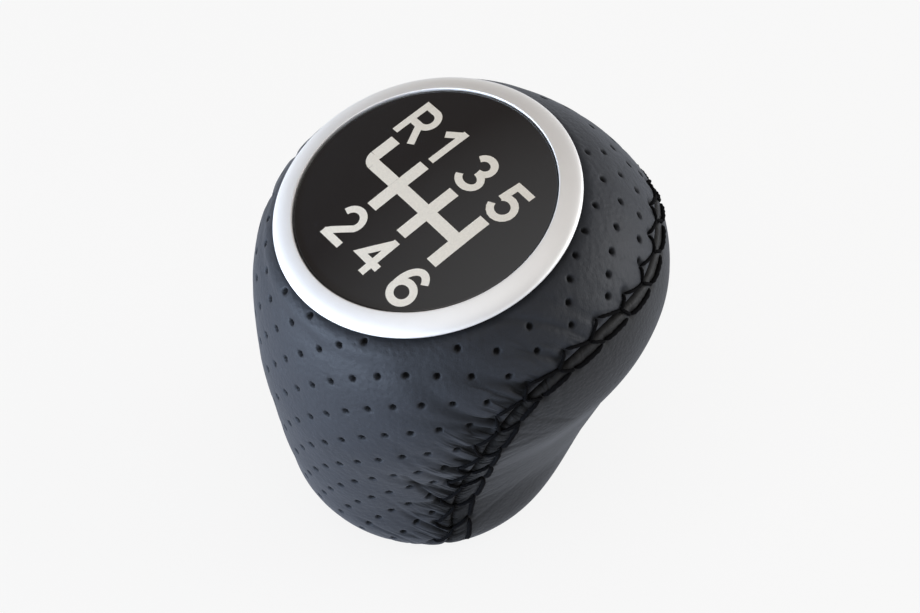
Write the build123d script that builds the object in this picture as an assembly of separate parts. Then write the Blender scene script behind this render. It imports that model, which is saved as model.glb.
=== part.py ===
from build123d import *
import functools
import math
import os

# Gear shift knob. Sizes are in millimetres and degrees.
# The lever axis is Z, the knob stands on z = 0, and the front of the car is +Y.

# Base collar, the lowest piece
COLLAR_RADIUS = 15.2
COLLAR_FLANGE = 1.2
SPIGOT_RADIUS = 12.0
SPIGOT_WALL = 1.6
SPIGOT_HEIGHT = 6.0
SPIGOT_BEAD = 0.4
FOOT_RADIUS = 13.2

# Outline of the leather body: rise above the hem, half width, reach to front and rear, tilt of the section
HEM_WIDTH = 15.9
HEM_FRONT = 15.5
HEM_REAR = 16.3
HEEL_RISE = 1.4
HEEL_WIDTH = 17.3
HEEL_FRONT = 16.9
HEEL_REAR = 17.7
WAIST_RISE = 13.0
WAIST_WIDTH = 20.0
WAIST_FRONT = 27.8
WAIST_REAR = 21.8
WAIST_TILT = 1.7
BELLY_RISE = 20.7
BELLY_WIDTH = 22.7
BELLY_FRONT = 32.4
BELLY_REAR = 22.8
BELLY_TILT = 5.7
BULGE_RISE = 31.6
BULGE_WIDTH = 27.5
BULGE_FRONT = 35.5
BULGE_REAR = 23.5
BULGE_TILT = 10.2
SHOULDER_RISE = 46.8
SHOULDER_WIDTH = 25.5
SHOULDER_FRONT = 26.0
SHOULDER_REAR = 22.0
SHOULDER_TILT = 14.0
RIM_RISE = 52.4
RIM_RADIUS = 20.5
TOP_TILT = 15.0
SPAN_LEVELS = 3
SECTION_POINTS = 20
SIDE_STEPS = 80

# Leather cover
LEATHER = 1.2
SEAM_GAP = 0.5
SEAM_STEPS = 60
SEAM_REAR = -9.1
SEAM_BEND_RISE = 26.0
SEAM_BEND_MID = (-5.3, 38.8)
SEAM_CREST = (7.0, 45.2)
SEAM_FRONT = (18.0, 46.0)
SEAM_NOSE = (36.0, 40.7)
HOLE_RADIUS = 0.45
HOLE_MIN_GATHER = 0.01
HOLE_PITCH = 4.58
HOLE_SHIFT = (-1.55, 0.6)
HOLE_MARGIN = 2.4
HOLE_RING_CLEAR = 1.4
GATHER_AT_RIM = 1.15
GATHER_PER_MM = 0.016

# Creases of the punched leather, which run away from the lower half of the seam
CREASE_COUNT = 14
CREASE_START = 46.0
CREASE_PITCH = 3.6
CREASE_NEAR = 2.6
CREASE_LENGTHS = (7.5, 4.5, 6.0)
CREASE_LEANS = (0.6, -0.8, 1.6, -0.3)
CREASE_RADIUS = 0.45
CREASE_LIFT = 0.12

# Stitched seam
STITCH_PITCH = 5.9
STITCH_REACH = 1.75
STITCH_PULL = 1.9
STITCH_DIP = 0.25
DASH_LENGTH = 4.4
THREAD_RADIUS = 0.38
LACE_RADIUS = 0.28
THREAD_GAP = 0.2
THREAD_END = 0.5

# Trim ring and its seat, in the tilted frame of the top face
RING_RADIUS = 21.0
RING_BORE = 18.02
RING_LIP = 0.4
RING_CROWN = 1.75
RING_EDGE_LEAN = 0.55
RING_TOP_FALL = 0.12
RING_BODY = 18.8
LEDGE_RADIUS = 15.0
LEDGE_DEPTH = 0.6
LEDGE_THICKNESS = 1.2
LEG_COUNT = 4
LEG_RADIUS = 16.2
LEG_THICKNESS = 1.2
LEG_WIDTH = 6.0
LEG_LENGTH = 5.2
LEG_HOOK = 0.8
SEAT_GAP = 0.1

# Pattern cap
CAP_EDGE = 1.45
CAP_CROWN = 2.15
CAP_CHAMFER = 0.25

# Lever bush and its retaining clip
BORE_RADIUS = 6.0
BORE_DEPTH = 32.0
BUSH_WALL = 3.0
BUSH_END = 3.5
BUSH_GROOVE = 0.8
BUSH_GROOVE_WIDTH = 2.0
BUSH_GROOVE_RISES = (12.0, 22.0)
CLIP_RISE = 6.0
CLIP_WIRE = 1.2
CLIP_GAP_ANGLE = 50.0

CLEARANCE = 0.15

SPIGOT_BORE = SPIGOT_RADIUS - SPIGOT_WALL
BUSH_RADIUS = BORE_RADIUS + BUSH_WALL
RIM_HEIGHT = COLLAR_FLANGE + RIM_RISE
RIM_REACH = RIM_RADIUS * math.cos(math.radians(TOP_TILT))
TOP = Plane(
    origin=(0, 0, RIM_HEIGHT),
    x_dir=(1, 0, 0),
    z_dir=(0, -math.sin(math.radians(TOP_TILT)), math.cos(math.radians(TOP_TILT))),
)
FAR = 2 * (BULGE_FRONT + RIM_HEIGHT)

# Stations of the body from the hem to the rim: height, slope, half width, front, rear
STATIONS = [
    (COLLAR_FLANGE + rise, math.tan(math.radians(tilt)), width, front, rear)
    for rise, tilt, width, front, rear in (
        (0.0, 0.0, HEM_WIDTH, HEM_FRONT, HEM_REAR),
        (HEEL_RISE, 0.0, HEEL_WIDTH, HEEL_FRONT, HEEL_REAR),
        (WAIST_RISE, WAIST_TILT, WAIST_WIDTH, WAIST_FRONT, WAIST_REAR),
        (BELLY_RISE, BELLY_TILT, BELLY_WIDTH, BELLY_FRONT, BELLY_REAR),
        (BULGE_RISE, BULGE_TILT, BULGE_WIDTH, BULGE_FRONT, BULGE_REAR),
        (SHOULDER_RISE, SHOULDER_TILT, SHOULDER_WIDTH, SHOULDER_FRONT, SHOULDER_REAR),
        (RIM_RISE, TOP_TILT, RIM_RADIUS, RIM_REACH, RIM_REACH),
    )
]


def mean_radius(station):
    """Mean of the half width and the half length of a section."""
    return (station[2] + (station[3] + station[4]) / 2) / 2


def station_positions():
    """Distance of each station along the side, as a share of the whole side."""
    lengths = [0.0]
    for lower, upper in zip(STATIONS, STATIONS[1:]):
        step = math.hypot(mean_radius(upper) - mean_radius(lower), upper[0] - lower[0])
        lengths.append(lengths[-1] + step)
    return [length / lengths[-1] for length in lengths]


POSITIONS = station_positions()


def smooth_value(s, values):
    """Cubic through the stations' values, with slopes averaged between neighbouring spans."""
    spans = [b - a for a, b in zip(POSITIONS, POSITIONS[1:])]
    rates = [(b - a) / span for a, b, span in zip(values, values[1:], spans)]
    inner = [
        (rates[i] * spans[i + 1] + rates[i + 1] * spans[i]) / (spans[i] + spans[i + 1])
        for i in range(len(spans) - 1)
    ]
    slopes = [1.5 * rates[0] - 0.5 * inner[0], *inner, 1.5 * rates[-1] - 0.5 * inner[-1]]
    i = max(j for j in range(len(spans)) if POSITIONS[j] <= s or j == 0)
    u = (s - POSITIONS[i]) / spans[i]
    return (
        (1 + 2 * u) * (1 - u) ** 2 * values[i]
        + u * (1 - u) ** 2 * spans[i] * slopes[i]
        + u * u * (3 - 2 * u) * values[i + 1]
        + u * u * (u - 1) * spans[i] * slopes[i + 1]
    )


@functools.cache
def body_level(s, depth=0.0):
    """Height, slope, half width, front and rear of the section at s, set in by depth along its normal."""
    level = [smooth_value(s, column) for column in zip(*STATIONS)]
    if depth == 0.0:
        return level
    step = 0.001
    below = [smooth_value(max(s - step, 0.0), column) for column in zip(*STATIONS)]
    above = [smooth_value(min(s + step, 1.0), column) for column in zip(*STATIONS)]
    out = above[0] - below[0]
    up = mean_radius(below) - mean_radius(above)
    length = math.hypot(out, up)
    inward = depth * out / length
    height, slope, width, front, rear = level
    return [height - depth * up / length, slope, width - inward, front - inward, rear - inward]


def surface_point(s, angle, depth=0.0):
    """Point of the body at position s and angle, which is 0 at the right and 90 at the front."""
    height, slope, width, front, rear = body_level(s, depth)
    turn = math.radians(angle)
    y = (front - rear) / 2 + (front + rear) / 2 * math.sin(turn)
    return Vector(width * math.cos(turn), y, height + slope * y)


def surface_normal(s, angle):
    """Outward unit normal of the body."""
    low, high = max(s - 0.002, 0.0), min(s + 0.002, 1.0)
    along = surface_point(s, angle + 0.2) - surface_point(s, angle - 0.2)
    return along.cross(surface_point(high, angle) - surface_point(low, angle)).normalized()


def body_solid(depth=0.0):
    """Loft through level sections, each an ellipse drawn as a closed spline that starts at the front."""
    turns = [90 + 360 * i / SECTION_POINTS for i in range(SECTION_POINTS)]
    knots = [i / SECTION_POINTS for i in range(SECTION_POINTS + 1)]
    levels = [
        a + (b - a) * i / SPAN_LEVELS
        for a, b in zip(POSITIONS, POSITIONS[1:])
        for i in range(SPAN_LEVELS)
    ] + [1.0]
    sections = []
    for s in levels:
        points = [surface_point(s, turn, depth) for turn in turns]
        sections.append(Wire([Edge.make_spline(points, periodic=True, parameters=knots)]))
    return Solid.make_loft(sections)


def turned(points, plane=Plane.XY, arc=360):
    """Solid of revolution of a polygon of (radius, height) points about the plane's Z axis."""
    outline = Wire.make_polygon([(r, 0, z) for r, z in points], close=True)
    return plane.location * Solid.revolve(Face(outline), arc, Axis.Z)


def drum(radius, low, high, plane=Plane.XY):
    """Solid cylinder between two heights of a plane."""
    return turned([(0, low), (radius, low), (radius, high), (0, high)], plane)


def seam_line():
    """Seam as seen from the side, from below the hem up and over to the nose."""
    points = [
        (0, SEAM_REAR, -COLLAR_RADIUS),
        (0, SEAM_REAR, COLLAR_FLANGE + SEAM_BEND_RISE),
        *[(0, y, COLLAR_FLANGE + rise) for y, rise in (SEAM_BEND_MID, SEAM_CREST, SEAM_FRONT, SEAM_NOSE)],
    ]
    straight = Edge.make_line(points[0], points[1])
    nose = Vector(*SEAM_NOSE) - Vector(*SEAM_FRONT)
    bend = Edge.make_spline(points[1:], tangents=[(0, 0, 1), (0, nose.X, nose.Y)])
    return straight, bend


def front_region():
    """Everything in front of and below the seam, as a slab across the body."""
    straight, bend = seam_line()
    start, end = straight @ 0, bend @ 1
    corner = Vector(0, FAR, end.Z)
    edges = [
        straight,
        bend,
        Edge.make_line(end, corner),
        Edge.make_line(corner, (0, FAR, start.Z)),
        Edge.make_line((0, FAR, start.Z), start),
    ]
    slab = Solid.extrude(Face(Wire(edges)), Vector(2 * FAR, 0, 0))
    return Pos(-FAR, 0, 0) * slab


def leather_skin(outer, inner):
    """Leather all over the core, open at the top for the ring and at the bottom for the foot."""
    skin = outer - inner
    skin -= drum(RING_BODY + CLEARANCE, -2 * LEATHER, 2 * LEATHER, TOP)
    return skin - drum(FOOT_RADIUS + CLEARANCE, 0, RIM_HEIGHT / 2)


def position_below_rim(angle, distance):
    """Position s at which a line down the side has run a distance from the rim, or None past the hem."""
    last = surface_point(1.0, angle)
    run = 0.0
    for i in range(1, SIDE_STEPS + 1):
        point = surface_point(1 - i / SIDE_STEPS, angle)
        length = (point - last).length
        if run + length >= distance:
            return 1 - (i - 1 + (distance - run) / length) / SIDE_STEPS
        run += length
        last = point
    return None


def punched_holes():
    """Points and normals of the punched holes.

    The leather is a flat sheet with a diagonal square grid of holes and a round cut-out for the ring.
    Draped over the knob it keeps its length down the side, and its turn gathers towards the base.
    """
    half = HOLE_PITCH / math.sqrt(2)
    reach = int(FAR / half)
    holes = []
    for i in range(-reach, reach):
        for j in range(-reach, reach):
            if (i + j) % 2:
                continue
            x, y = i * half + HOLE_SHIFT[0], j * half + HOLE_SHIFT[1]
            distance = math.hypot(x, y) - RIM_RADIUS
            gather = GATHER_AT_RIM - GATHER_PER_MM * distance
            turn = math.degrees(math.atan2(x, -y)) / max(gather, HOLE_MIN_GATHER)
            if distance < HOLE_RING_CLEAR or abs(turn) > 180:
                continue
            s = position_below_rim(turn - 90, distance)
            if s is not None and clear_of_seam(surface_point(s, turn - 90)):
                holes.append((surface_point(s, turn - 90), surface_normal(s, turn - 90)))
    return holes


def clear_of_seam(point):
    """Whether a point lies on the punched side, far enough from the seam and from the hem."""
    if point.Z < COLLAR_FLANGE + HOLE_MARGIN:
        return False
    side = Vector(0, point.Y, point.Z)
    nearest = min(SEAM_SAMPLES, key=lambda sample: (sample[0] - side).length)
    offset = side - nearest[0]
    return offset.length > HOLE_MARGIN and offset.cross(nearest[1]).X < 0


def rod(start, end, radius, sides=6):
    """Many-sided rod between two points."""
    axis = end - start
    plane = Plane(origin=start, z_dir=axis)
    turns = [2 * math.pi * i / sides for i in range(sides)]
    corners = [plane.from_local_coords((radius * math.cos(a), radius * math.sin(a), 0)) for a in turns]
    return Solid.extrude(Face(Wire.make_polygon(corners, close=True)), axis)


def side_samples():
    """Points and directions along the side view of the seam."""
    straight, bend = seam_line()
    places = [i / SEAM_STEPS for i in range(SEAM_STEPS + 1)]
    return [(edge @ place, edge % place) for edge in (straight, bend) for place in places]


SEAM_SAMPLES = side_samples()


def position_at_height(y, z):
    """Position s of the tilted section that passes through a point of the side view."""
    low, high = 0.0, 1.0
    for _ in range(40):
        middle = (low + high) / 2
        height, slope = body_level(middle)[:2]
        if height + slope * y < z:
            low = middle
        else:
            high = middle
    return low


def seam_path():
    """Seam on the right half of the body from the nose down to the hem, as (s, angle) pairs."""
    path = []
    for point, _ in reversed(SEAM_SAMPLES):
        if point.Z < STATIONS[1][0]:
            continue
        s = position_at_height(point.Y, point.Z)
        front, rear = body_level(s)[3:]
        share = (2 * point.Y - front + rear) / (front + rear)
        if share <= 1:
            path.append((s, math.degrees(math.asin(share))))
    return [(path[0][0], 90.0), *path]


def seam_frame(path, run, across, side, lift=THREAD_RADIUS + THREAD_GAP):
    """Point lifted off the leather at a run from the nose along the seam and a distance across it."""
    points = [surface_point(s, angle) for s, angle in path]
    for (s, angle), here, ahead in zip(path, points, points[1:]):
        length = (ahead - here).length
        if run <= length:
            break
        run -= length
    along = (ahead - here).normalized()
    move = along * run + along.cross(surface_normal(s, angle)) * across
    s, angle = moved_on_body(s, angle, move)
    spot = surface_point(s, angle) + surface_normal(s, angle) * lift
    return Vector(side * spot.X, spot.Y, spot.Z)


def moved_on_body(s, angle, move):
    """Position and angle of the body's point that lies a small move away along its surface."""
    step_s, step_angle = 0.001, 0.1
    down = (surface_point(s + step_s, angle) - surface_point(s - step_s, angle)) / (2 * step_s)
    turn = (surface_point(s, angle + step_angle) - surface_point(s, angle - step_angle)) / (2 * step_angle)
    a, b, c = down.dot(down), down.dot(turn), turn.dot(turn)
    p, q = move.dot(down), move.dot(turn)
    return s + (p * c - q * b) / (a * c - b * b), angle + (q * a - p * b) / (a * c - b * b)


def shortened(start, end):
    """A strand's two ends, drawn in so that strands that meet stay apart."""
    along = (end - start).normalized() * THREAD_END
    return start + along, end - along


def seam_thread():
    """Stitches of the seam: a running dash on the smooth side, a zigzag on the punched side, and lacing."""
    path = seam_path()
    points = [surface_point(s, angle) for s, angle in path]
    length = sum((b - a).length for a, b in zip(points, points[1:]))
    rods = []
    for side in (-1, 1):
        for i in range(int(length / STITCH_PITCH)):
            start, end = i * STITCH_PITCH, (i + 1) * STITCH_PITCH
            pull = start + STITCH_PULL
            dash = [(end - THREAD_END - DASH_LENGTH, -STITCH_REACH), (end - THREAD_END, -STITCH_REACH)]
            rods.append(rod(*[seam_frame(path, *spot, side) for spot in dash], THREAD_RADIUS))
            for strand in (
                [(start, STITCH_REACH), (pull, STITCH_DIP)],
                [(pull, STITCH_DIP), (end, STITCH_REACH)],
                [(pull, -STITCH_DIP), (start, -STITCH_REACH)],
            ):
                ends = [seam_frame(path, *spot, side) for spot in strand]
                rods.append(rod(*shortened(*ends), LACE_RADIUS, sides=4))
    return rods


def leg_profile(grow):
    """Outline of a snap leg in (radius, height), grown on every side for its pocket."""
    inner = LEG_RADIUS - LEG_THICKNESS / 2 - grow
    outer = LEG_RADIUS + LEG_THICKNESS / 2 + grow
    top = -LEDGE_DEPTH - LEDGE_THICKNESS
    shelf = top - LEG_LENGTH / 2 + grow
    tip = top - LEG_LENGTH - grow
    return [
        (inner, top),
        (outer, top),
        (outer, shelf),
        (outer + LEG_HOOK, shelf),
        (outer + LEG_HOOK, shelf - LEG_HOOK),
        (outer, tip),
        (inner, tip),
    ]


def legs(grow=0.0):
    """Snap legs under the ring, in the frame of the top face."""
    outline = Wire.make_polygon([(r, -LEG_WIDTH / 2 - grow, z) for r, z in leg_profile(grow)], close=True)
    leg = Solid.extrude(Face(outline), Vector(0, LEG_WIDTH + 2 * grow, 0))
    return [Rot(0, 0, (i + 0.5) * 360 / LEG_COUNT) * leg for i in range(LEG_COUNT)]


def trim_ring():
    """Satin ring: crowned flange over the leather's edge, a ledge for the cap, and snap legs."""
    bottom = -LEDGE_DEPTH - LEDGE_THICKNESS
    edges = Wire(
        [
            Edge.make_line((RING_BORE, 0, RING_CROWN), (RING_BORE, 0, -LEDGE_DEPTH)),
            Edge.make_line((RING_BORE, 0, -LEDGE_DEPTH), (LEDGE_RADIUS, 0, -LEDGE_DEPTH)),
            Edge.make_line((LEDGE_RADIUS, 0, -LEDGE_DEPTH), (LEDGE_RADIUS, 0, bottom)),
            Edge.make_line((LEDGE_RADIUS, 0, bottom), (RING_BODY, 0, bottom)),
            Edge.make_line((RING_BODY, 0, bottom), (RING_BODY, 0, 0)),
            Edge.make_line((RING_BODY, 0, 0), (RING_RADIUS, 0, 0)),
            Edge.make_line((RING_RADIUS, 0, 0), (RING_RADIUS, 0, RING_LIP)),
            Edge.make_spline(
                [(RING_RADIUS, 0, RING_LIP), (RING_BORE, 0, RING_CROWN)],
                tangents=[(-RING_EDGE_LEAN, 0, 1), (-1, 0, RING_TOP_FALL)],
            ),
        ]
    )
    ring = Solid.revolve(Face(edges), 360, Axis.Z)
    return TOP.location * (ring + legs())


def pattern_cap():
    """Domed gloss cap that lies on the ring's ledge inside its bore."""
    radius = RING_BORE - CLEARANCE
    edge = CAP_EDGE - CAP_CHAMFER
    dome = Edge.make_three_point_arc(
        (radius - CAP_CHAMFER, 0, CAP_EDGE), (0, 0, CAP_CROWN), (CAP_CHAMFER - radius, 0, CAP_EDGE)
    ).trim(0, 0.5)
    outline = Wire(
        [
            dome,
            Edge.make_line((0, 0, CAP_CROWN), (0, 0, -LEDGE_DEPTH)),
            Edge.make_line((0, 0, -LEDGE_DEPTH), (radius, 0, -LEDGE_DEPTH)),
            Edge.make_line((radius, 0, -LEDGE_DEPTH), (radius, 0, edge)),
            Edge.make_line((radius, 0, edge), (radius - CAP_CHAMFER, 0, CAP_EDGE)),
        ]
    )
    return TOP.location * Solid.revolve(Face(outline), 360, Axis.Z)


def bush_outline():
    """Outer outline of the bush with the grooves that key it into the core."""
    top = BORE_DEPTH + BUSH_END
    points = [(0, 0), (BUSH_RADIUS, 0)]
    for rise in BUSH_GROOVE_RISES:
        points += [
            (BUSH_RADIUS, rise),
            (BUSH_RADIUS - BUSH_GROOVE, rise),
            (BUSH_RADIUS - BUSH_GROOVE, rise + BUSH_GROOVE_WIDTH),
            (BUSH_RADIUS, rise + BUSH_GROOVE_WIDTH),
        ]
    return points + [(BUSH_RADIUS, top), (0, top)]


def lever_bush():
    """Turned sleeve for the lever, closed at its top, with a groove for the clip in its bore."""
    bush = turned(bush_outline()) - drum(BORE_RADIUS, 0, BORE_DEPTH)
    return bush - drum(BORE_RADIUS + CLIP_WIRE, CLIP_RISE, CLIP_RISE + CLIP_WIRE + CLEARANCE)


def lever_clip():
    """Open spring ring in the bore's groove, which grips the lever."""
    inner, outer = BORE_RADIUS + CLEARANCE / 2, BORE_RADIUS + CLIP_WIRE - CLEARANCE / 2
    low, high = CLIP_RISE, CLIP_RISE + CLIP_WIRE
    return turned([(inner, low), (outer, low), (outer, high), (inner, high)], arc=360 - CLIP_GAP_ANGLE)


def spigot_profile(grow):
    """Outline of the collar's spigot with its snap bead, grown for the groove that takes it."""
    tip = COLLAR_FLANGE + SPIGOT_HEIGHT + grow
    bead = COLLAR_FLANGE + SPIGOT_HEIGHT / 2
    outer = SPIGOT_RADIUS + grow
    return [
        (SPIGOT_BORE - grow, COLLAR_FLANGE),
        (outer, COLLAR_FLANGE),
        (outer, bead - SPIGOT_BEAD),
        (outer + SPIGOT_BEAD, bead),
        (outer, bead + SPIGOT_BEAD),
        (outer, tip),
        (SPIGOT_BORE - grow, tip),
    ]


def base_collar():
    """Flange that the knob stands on, with a snap spigot that holds the hem against the core."""
    bore = BUSH_RADIUS + CLEARANCE
    flange = [(bore, 0), (COLLAR_RADIUS, 0), (COLLAR_RADIUS, COLLAR_FLANGE), (bore, COLLAR_FLANGE)]
    return turned(flange) + turned(spigot_profile(0.0))


def knob_core(inner):
    """Moulded core: seat and leg pockets for the ring, foot, spigot groove, and the socket round the bush."""
    core = inner + drum(FOOT_RADIUS, COLLAR_FLANGE, SPIGOT_HEIGHT)
    core -= drum(RING_BODY + CLEARANCE, -LEDGE_DEPTH - LEDGE_THICKNESS - SEAT_GAP, FAR, TOP)
    core -= [TOP.location * pocket for pocket in legs(CLEARANCE)]
    core -= turned(spigot_profile(CLEARANCE))
    return core - turned(bush_outline())


def crease_rods():
    """Thin rods half sunk into the leather, each straight, so that its crease is deepest in the middle."""
    path = seam_path()
    rods = []
    for side in (-1, 1):
        for i in range(CREASE_COUNT):
            run = CREASE_START + i * CREASE_PITCH
            far_run = run + CREASE_LEANS[i % len(CREASE_LEANS)]
            far = CREASE_NEAR + CREASE_LENGTHS[i % len(CREASE_LENGTHS)]
            start = seam_frame(path, run, CREASE_NEAR, side, CREASE_LIFT)
            end = seam_frame(path, far_run, far, side, CREASE_LIFT)
            rods.append(rod(start, end, CREASE_RADIUS))
    return rods


def punched(leather):
    """Leather with its creases and its holes, six-sided through cuts along the surface normals."""
    tools = [rod(p + n * LEATHER / 2, p - n * LEATHER * 1.5, HOLE_RADIUS) for p, n in punched_holes()]
    return leather - crease_rods() - tools


def main():
    """Builds each piece and writes it to its own file."""
    outer = body_solid()
    inner = body_solid(LEATHER)
    skin = leather_skin(outer, inner)
    region = front_region()
    pieces = {
        "knob_core": knob_core(inner),
        "rear_leather": punched(skin - region),
        "front_leather": skin & Pos(0, SEAM_GAP, -SEAM_GAP) * region,
        "seam_thread": Compound(children=seam_thread()),
        "trim_ring": trim_ring(),
        "pattern_cap": pattern_cap(),
        "base_collar": base_collar(),
        "lever_bush": lever_bush(),
        "lever_clip": lever_clip(),
    }
    os.makedirs("parts", exist_ok=True)
    for name, piece in pieces.items():
        export_step(piece, f"parts/{name}.step")


main()
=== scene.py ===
import math

import bpy
import numpy as np
from bpy.props import FloatProperty, FloatVectorProperty, PointerProperty
from mathutils import Matrix, Vector


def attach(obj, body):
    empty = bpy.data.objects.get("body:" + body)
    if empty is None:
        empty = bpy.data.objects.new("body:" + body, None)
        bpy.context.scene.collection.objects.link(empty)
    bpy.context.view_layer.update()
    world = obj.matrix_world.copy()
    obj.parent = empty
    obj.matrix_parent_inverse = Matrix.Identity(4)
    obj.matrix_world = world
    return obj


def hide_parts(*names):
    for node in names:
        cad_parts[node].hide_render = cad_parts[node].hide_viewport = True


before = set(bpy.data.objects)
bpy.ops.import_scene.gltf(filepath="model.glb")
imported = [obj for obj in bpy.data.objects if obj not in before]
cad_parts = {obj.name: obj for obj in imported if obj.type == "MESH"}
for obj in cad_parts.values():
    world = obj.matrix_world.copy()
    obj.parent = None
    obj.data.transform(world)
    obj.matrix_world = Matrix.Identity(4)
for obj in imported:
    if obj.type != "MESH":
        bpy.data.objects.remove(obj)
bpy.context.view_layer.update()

bl_info = {
    "name": "Gear shift knob",
    "version": (1, 0, 0),
    "blender": (4, 5, 0),
    "location": "View3D > Sidebar > Knob",
    "description": "Leather covers, stitches, ring, cap and print of a gear shift knob on its CAD frame",
    "category": "Mesh",
}

MM = 0.001

# Sections of the leather body in mm: height, tilt in degrees, half width, front, rear
TOP_TILT_DEGREES = 15.0
TOP_TILT = math.radians(TOP_TILT_DEGREES)
RIM_RADIUS = 20.5
RIM_DEPTH = RIM_RADIUS * math.cos(TOP_TILT)
RIM_HEIGHT = 53.6
HEM_HEIGHT = 1.2
OUTLINE = np.array(
    [
        (HEM_HEIGHT, 0.0, 15.9, 15.5, 16.3),
        (2.6, 0.0, 17.3, 16.9, 17.7),
        (14.2, 1.7, 20.0, 27.8, 21.8),
        (21.9, 5.7, 22.7, 32.4, 22.8),
        (32.8, 10.2, 27.5, 35.5, 23.5),
        (48.0, 14.0, 25.5, 26.0, 22.0),
        (RIM_HEIGHT, TOP_TILT_DEGREES, RIM_RADIUS, RIM_DEPTH, RIM_DEPTH),
    ]
)
BODY_STEP = 1e-3

# Axes of the top face: right, towards the front, and out of the face
TOP_CENTRE = np.array([0.0, 0.0, RIM_HEIGHT]) * MM
TOP_AXES = np.array(
    [
        (1.0, 0.0, 0.0),
        (0.0, math.cos(TOP_TILT), math.sin(TOP_TILT)),
        (0.0, -math.sin(TOP_TILT), math.cos(TOP_TILT)),
    ]
)

# Side view of the seam in mm: y and height, straight up from the hem, then over to the nose
SEAM_REAR = -9.1
SEAM_HEM = (SEAM_REAR, HEM_HEIGHT)
SEAM_BEND = np.array(
    [(SEAM_REAR, 27.2), (-5.3, 40.0), (7.0, 46.3), (18.0, 46.5), (29.0, 46.4), (35.5, 41.5)]
)
SEAM_END_SLOPES = np.array([(0.0, 1.0), (0.70, -0.71)])
SEAM_SAMPLES = 900
SEAM_POINTS = 420
SEAM_HALVINGS = 40
NEAREST_BATCH = 20000

# Punched grid on its flat sheet: place and bare edge in mm, reach in steps, and how it gathers downwards
HOLE_SHIFT = (-1.55, 0.6)
HOLE_RING_CLEAR = 1.4
HOLE_REACH = 60
HOLE_LEVELS = 120
GATHER_AT_RIM = 1.15
GATHER_PER_MM = 0.016
GATHER_LEAST = 0.01

# Edges of the leather: sizes in mm, places as shares of the side from the hem to the rim
TUCK_DEPTH = 0.75
TUCK_START = 0.955
# Share by which the tuck under the ring is darkened: painted shade in the gap below the ring
TUCK_PAINTED_SHADE = 0.8
HEM_SHARE = 0.02
RIM_SHARE = 0.985
LIP_HEIGHT = 0.30
LIP_PLACE = 0.942
LIP_WIDTH = 0.025
UNDER_RING_RADIUS = 18.97
UNDER_HEM_RADIUS = 13.4
UNDER_HEM_LIFT = 0.02
OFF_SEAM = 1e-9
HALVES_APART = 5.0

# Relief of the leathers in mm
ROLL_WIDTH = 0.30
SWELL_HEIGHT = 0.09
SWELL_PLACE = 1.6
# Widths of the painted shade along the seam: the dark line in its groove and the dark band on its lower half
SEAM_SHADE_LINE = 0.26
SEAM_SHADE_BAND = 2.4
DENT_RADIUS = 0.65
PUNCHED_DENT = 0.45
SMOOTH_DENT = 0.35
HOLE_DIMPLE = 0.06
PUNCHED_WAVE = (0.05, 4.0)
SMOOTH_WAVE = (0.04, 5.0)
PUNCHED_GRID = (256, 650)
SMOOTH_GRID = (200, 500)
SMOOTH_CREASE = 0.22

# Holes as shares of their radius: wall and painted shade from the outside in, and the dimple round them; the
# painted shade darkens the inside of each hole and its rim
HOLE_WALL = (1.25, 0.70)
HOLE_PAINTED_SHADE = (1.42, 0.90)
DIMPLE_WIDTH = 2.2

# Creases beside the seam: number, spacing as a share of a stitch, and mm at which their width doubles
CREASE_COUNT = 80
CREASE_SPACING = 0.62
CREASE_FLARE = 6.0

# Strands of a stitch: first and last knot, each with its step and trim in mm, then the height of the ends and
# of the middle over the leather in mm, and the share of the thread's radius
SLIM = 0.72
STRANDS = (
    (("smooth", 0, 0.3), ("smooth", 1, -0.15), -0.35, 0.28, 1.0),
    (("punched", 0, 0.1), ("crossing", 0, 0.1), -0.35, 0.22, SLIM),
    (("crossing", 0, 0.0), ("punched", 1, -0.1), -0.3, 0.24, SLIM),
    (("crossing", 0, 0.0), ("smooth", 0, -0.1), -0.25, 0.26, SLIM),
)
STRAND_STEPS = 15

# Stitches in mm: seam left free at the hem, sway of a strand, stray of a knot, crossing beside the seam
STITCH_SPARE = 1.2
STITCH_SWAY = 0.15
KNOT_STRAY = 0.34
CROSSING_OFFSET = 0.1

# Lift of the stitches: share of it at the nose, and the run in mm over which it grows to the whole
NOSE_LIFT = 0.1
NOSE_RUN = (5.0, 13.0)

# Thread: sides of its section, turns along a strand, and the share by which its two lobes stand out
THREAD_SIDES = 10
THREAD_TWIST = 2.5
THREAD_LOBE = 0.16

# Ring and cap in mm on the top face, with the slopes at both ends of the ring's crown
RING_LIP = 0.4
RING_BODY = 18.8
RING_EDGE = 0.12
RING_ROUNDING = 0.06
RING_INNER_DROP = 0.1
RING_UNDERSIDE = 0.02
CROWN_STEPS = 14
RING_RISE = np.array([-0.55, 1.0]) * 1.9
RING_RUN_IN = np.array([-1.0, 0.12]) * 3.2
LEDGE_BORE = 15.0
LEDGE_TOP = -0.6
LEDGE_FOOT = -1.8
CAP_GAP = 0.15
CAP_BEVEL = 0.25
CAP_CHAMFER = 0.05
CAP_WALL = 0.3
LATHE_COLUMNS = 192

# Gate pattern in mm on the top face, and its labels: sign, column, side of the crossbar, shift
GATE_COLUMNS = (-10.17, -3.73, 2.71, 9.15)
GATE_CROSS = -1.41
GATE_UP = 4.57
GATE_WIDTH = 1.85
GATE_BEND = 1.05
GATE_STEPS = 13
LABEL_HEIGHT = 5.9
LABEL_STROKE = 1.0
LABEL_REACH = 8.65
LABEL_SIZE = 1.07
LABELS = (
    ("R", 0, 1, (0.2, 0.0)),
    ("1", 1, 1, (-0.45, 0.05)),
    ("3", 2, 1, (-0.2, 0.0)),
    ("5", 3, 1, (0.15, -0.25)),
    ("2", 1, -1, (-0.45, 0.05)),
    ("4", 2, -1, (-0.2, -0.15)),
    ("6", 3, -1, (0.5, -0.3)),
)

# Bands of the print lie in turn on a few layers, each higher by a share of its thickness
LAYER_RISE = 0.25
LAYERS = 3

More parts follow.
